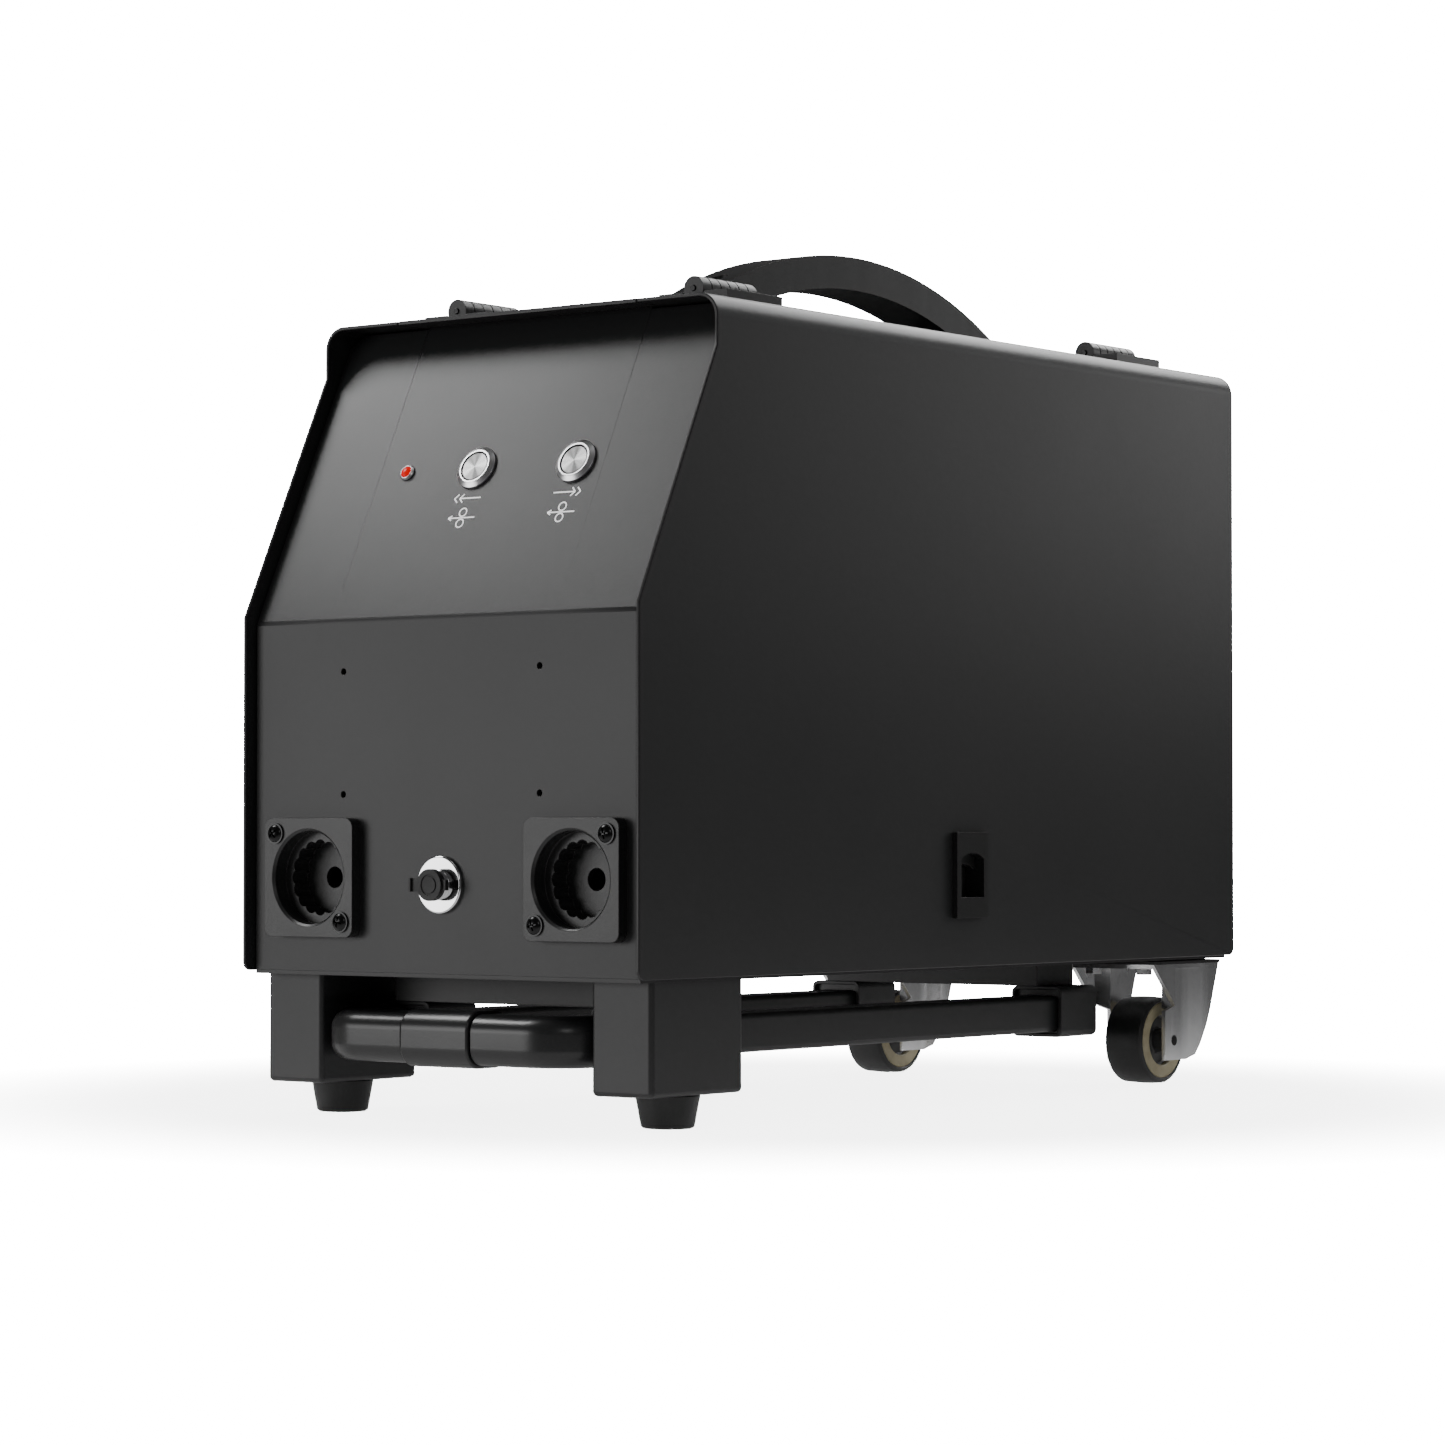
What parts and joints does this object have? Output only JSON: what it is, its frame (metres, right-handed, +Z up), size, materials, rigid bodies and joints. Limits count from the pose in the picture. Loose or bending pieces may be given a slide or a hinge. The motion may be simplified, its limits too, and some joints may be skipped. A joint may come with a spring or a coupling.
{
  "type": "twin wire feeder",
  "caption": "Twin wire feeder on feet and casters: sheet-metal case with gull-wing side doors, conduit sockets, bow handle and a pull-out trolley grip.",
  "frame": {"origin": "on the floor under the middle of the part's bounding box", "axes": "+Z up, the control panel faces -Y, +X is the right-hand side seen from the front"},
  "size_m": [0.2664, 0.5546, 0.464],
  "materials": {
    "case_paint": "charcoal satin powder coat",
    "inner_steel": "zinc plated steel",
    "black_screw": "black oxide",
    "handle_plastic": "satin black moulded plastic",
    "socket_plastic": "black moulded plastic",
    "fitting_plastic": "black nylon",
    "connector_chrome": "bright nickel",
    "button_steel": "turned stainless steel",
    "lamp_red": "clear red plastic",
    "foot_rubber": "black rubber",
    "tyre_rubber": "black rubber tread",
    "wheel_cream": "cream nylon",
    "fork_zinc": "bright zinc",
    "hinge_black": "black powder coat",
    "motor_grey": "cast housing",
    "guide_brass": "turned brass",
    "board_green": "green circuit board",
    "roll_steel": "hardened steel",
    "arm_grey": "cast arm, dark grey"
  },
  "bodies": {
    "chassis": {"base_tray": "case_paint", "front_panel": "case_paint", "rear_panel": "case_paint", "partition": "inner_steel", "top_strip": "case_paint", "carry_handle": "handle_plastic", "handle_screws": "inner_steel", "left_socket": "socket_plastic", "right_socket": "socket_plastic", "socket_screws": "black_screw", "control_connector": "connector_chrome", "panel_bezels": "connector_chrome", "lamp_lens": "lamp_red", "leg_blocks": "case_paint", "rubber_feet": "foot_rubber", "cross_members": "case_paint", "rail_sleeves": "case_paint", "rail_liners": "fitting_plastic", "rails": "case_paint", "caster_plates": "case_paint", "left_caster_fork": "fork_zinc", "right_caster_fork": "fork_zinc", "caster_axles": "inner_steel", "caster_bolts": "inner_steel", "fixed_hinge_leaves": "hinge_black", "hinge_pins": "inner_steel", "gearmotors": "motor_grey", "feed_plates": "inner_steel", "wire_guides": "guide_brass", "hub_shafts": "inner_steel", "control_board": "board_green"},
    "right_door_body": {"right_door": "case_paint", "right_door_leaves": "hinge_black", "right_latch_plate": "socket_plastic"},
    "left_door_body": {"left_door": "case_paint", "left_door_leaves": "hinge_black", "left_latch_plate": "socket_plastic"},
    "right_latch": {"right_latch_tongue": "socket_plastic"},
    "left_latch": {"left_latch_tongue": "socket_plastic"},
    "trolley": {"trolley_tubes": "inner_steel", "trolley_grip": "handle_plastic"},
    "grip_button": {"trolley_button": "handle_plastic"},
    "feed_key": {"feed_button": "button_steel"},
    "retract_key": {"retract_button": "button_steel"},
    "cap": {"dust_cap": "foot_rubber"},
    "left_wheel": {"left_tyre": "tyre_rubber", "left_wheel_core": "wheel_cream"},
    "right_wheel": {"right_tyre": "tyre_rubber", "right_wheel_core": "wheel_cream"},
    "left_spool_hub": {"left_hub": "fitting_plastic"},
    "right_spool_hub": {"right_hub": "fitting_plastic"},
    "left_feed_roll": {"left_drive_roll": "roll_steel"},
    "right_feed_roll": {"right_drive_roll": "roll_steel"},
    "left_arm": {"left_pressure_arm": "arm_grey"},
    "right_arm": {"right_pressure_arm": "arm_grey"},
    "left_idler": {"left_pressure_roll": "roll_steel"},
    "right_idler": {"right_pressure_roll": "roll_steel"},
    "left_knob": {"left_tension_knob": "fitting_plastic"},
    "right_knob": {"right_tension_knob": "fitting_plastic"}
  },
  "joints": [
    {"name": "right_door_hinge", "type": "hinge", "parent": "chassis", "child": "right_door_body", "pos_m": [0.079, 0, 0.4188], "axis": [0, -1, 0], "range_deg": [0, 180]},
    {"name": "right_latch_slide", "type": "slide", "parent": "right_door_body", "child": "right_latch", "axis": [0, 0, -1], "range_m": [0, 0.006]},
    {"name": "right_wheel_axle", "type": "hinge", "parent": "chassis", "child": "right_wheel", "pos_m": [0.0915, 0.2418, 0.025], "axis": [1, 0, 0], "continuous": true},
    {"name": "right_hub_spin", "type": "hinge", "parent": "chassis", "child": "right_spool_hub", "pos_m": [0, 0.1133, 0.238], "axis": [1, 0, 0], "continuous": true},
    {"name": "right_feed_roll_spin", "type": "hinge", "parent": "chassis", "child": "right_feed_roll", "pos_m": [0.088, -0.1357, 0.1057], "axis": [1, 0, 0], "continuous": true},
    {"name": "right_arm_hinge", "type": "hinge", "parent": "chassis", "child": "right_arm", "pos_m": [0.088, -0.1017, 0.1389], "axis": [-1, 0, 0], "range_deg": [0, 55]},
    {"name": "right_idler_spin", "type": "hinge", "parent": "right_arm", "child": "right_idler", "pos_m": [0.088, -0.1357, 0.1369], "axis": [1, 0, 0], "continuous": true},
    {"name": "right_knob_turn", "type": "hinge", "parent": "right_arm", "child": "right_knob", "pos_m": [0.088, -0.1657, 0.1469], "axis": [0, 0, 1], "continuous": true},
    {"name": "left_door_hinge", "type": "hinge", "parent": "chassis", "child": "left_door_body", "pos_m": [-0.079, 0, 0.4188], "axis": [0, 1, 0], "range_deg": [0, 180]},
    {"name": "left_latch_slide", "type": "slide", "parent": "left_door_body", "child": "left_latch", "axis": [0, 0, -1], "range_m": [0, 0.006]},
    {"name": "left_wheel_axle", "type": "hinge", "parent": "chassis", "child": "left_wheel", "pos_m": [-0.0915, 0.2418, 0.025], "axis": [1, 0, 0], "continuous": true},
    {"name": "left_hub_spin", "type": "hinge", "parent": "chassis", "child": "left_spool_hub", "pos_m": [0, 0.1133, 0.238], "axis": [1, 0, 0], "continuous": true},
    {"name": "left_feed_roll_spin", "type": "hinge", "parent": "chassis", "child": "left_feed_roll", "pos_m": [-0.084, -0.1357, 0.1057], "axis": [1, 0, 0], "continuous": true},
    {"name": "left_arm_hinge", "type": "hinge", "parent": "chassis", "child": "left_arm", "pos_m": [-0.084, -0.1017, 0.1389], "axis": [-1, 0, 0], "range_deg": [0, 55]},
    {"name": "left_idler_spin", "type": "hinge", "parent": "left_arm", "child": "left_idler", "pos_m": [-0.084, -0.1357, 0.1369], "axis": [1, 0, 0], "continuous": true},
    {"name": "left_knob_turn", "type": "hinge", "parent": "left_arm", "child": "left_knob", "pos_m": [-0.084, -0.1657, 0.1469], "axis": [0, 0, 1], "continuous": true},
    {"name": "trolley_slide", "type": "slide", "parent": "chassis", "child": "trolley", "axis": [0, -1, 0], "range_m": [0, 0.33]},
    {"name": "grip_button_press", "type": "slide", "parent": "trolley", "child": "grip_button", "axis": [0, 1, 0], "range_m": [0, 0.003], "stiffness_N_per_m": 600, "springref_m": -0.001},
    {"name": "feed_button_press", "type": "slide", "parent": "chassis", "child": "feed_key", "axis": [0, 0.902, -0.4317], "range_m": [0, 0.0016], "stiffness_N_per_m": 900, "springref_m": -0.001},
    {"name": "retract_button_press", "type": "slide", "parent": "chassis", "child": "retract_key", "axis": [0, 0.902, -0.4317], "range_m": [0, 0.0016], "stiffness_N_per_m": 900, "springref_m": -0.001},
    {"name": "dust_cap_pull", "type": "slide", "parent": "chassis", "child": "cap", "axis": [0, -1, 0], "range_m": [0, 0.012]}
  ]
}
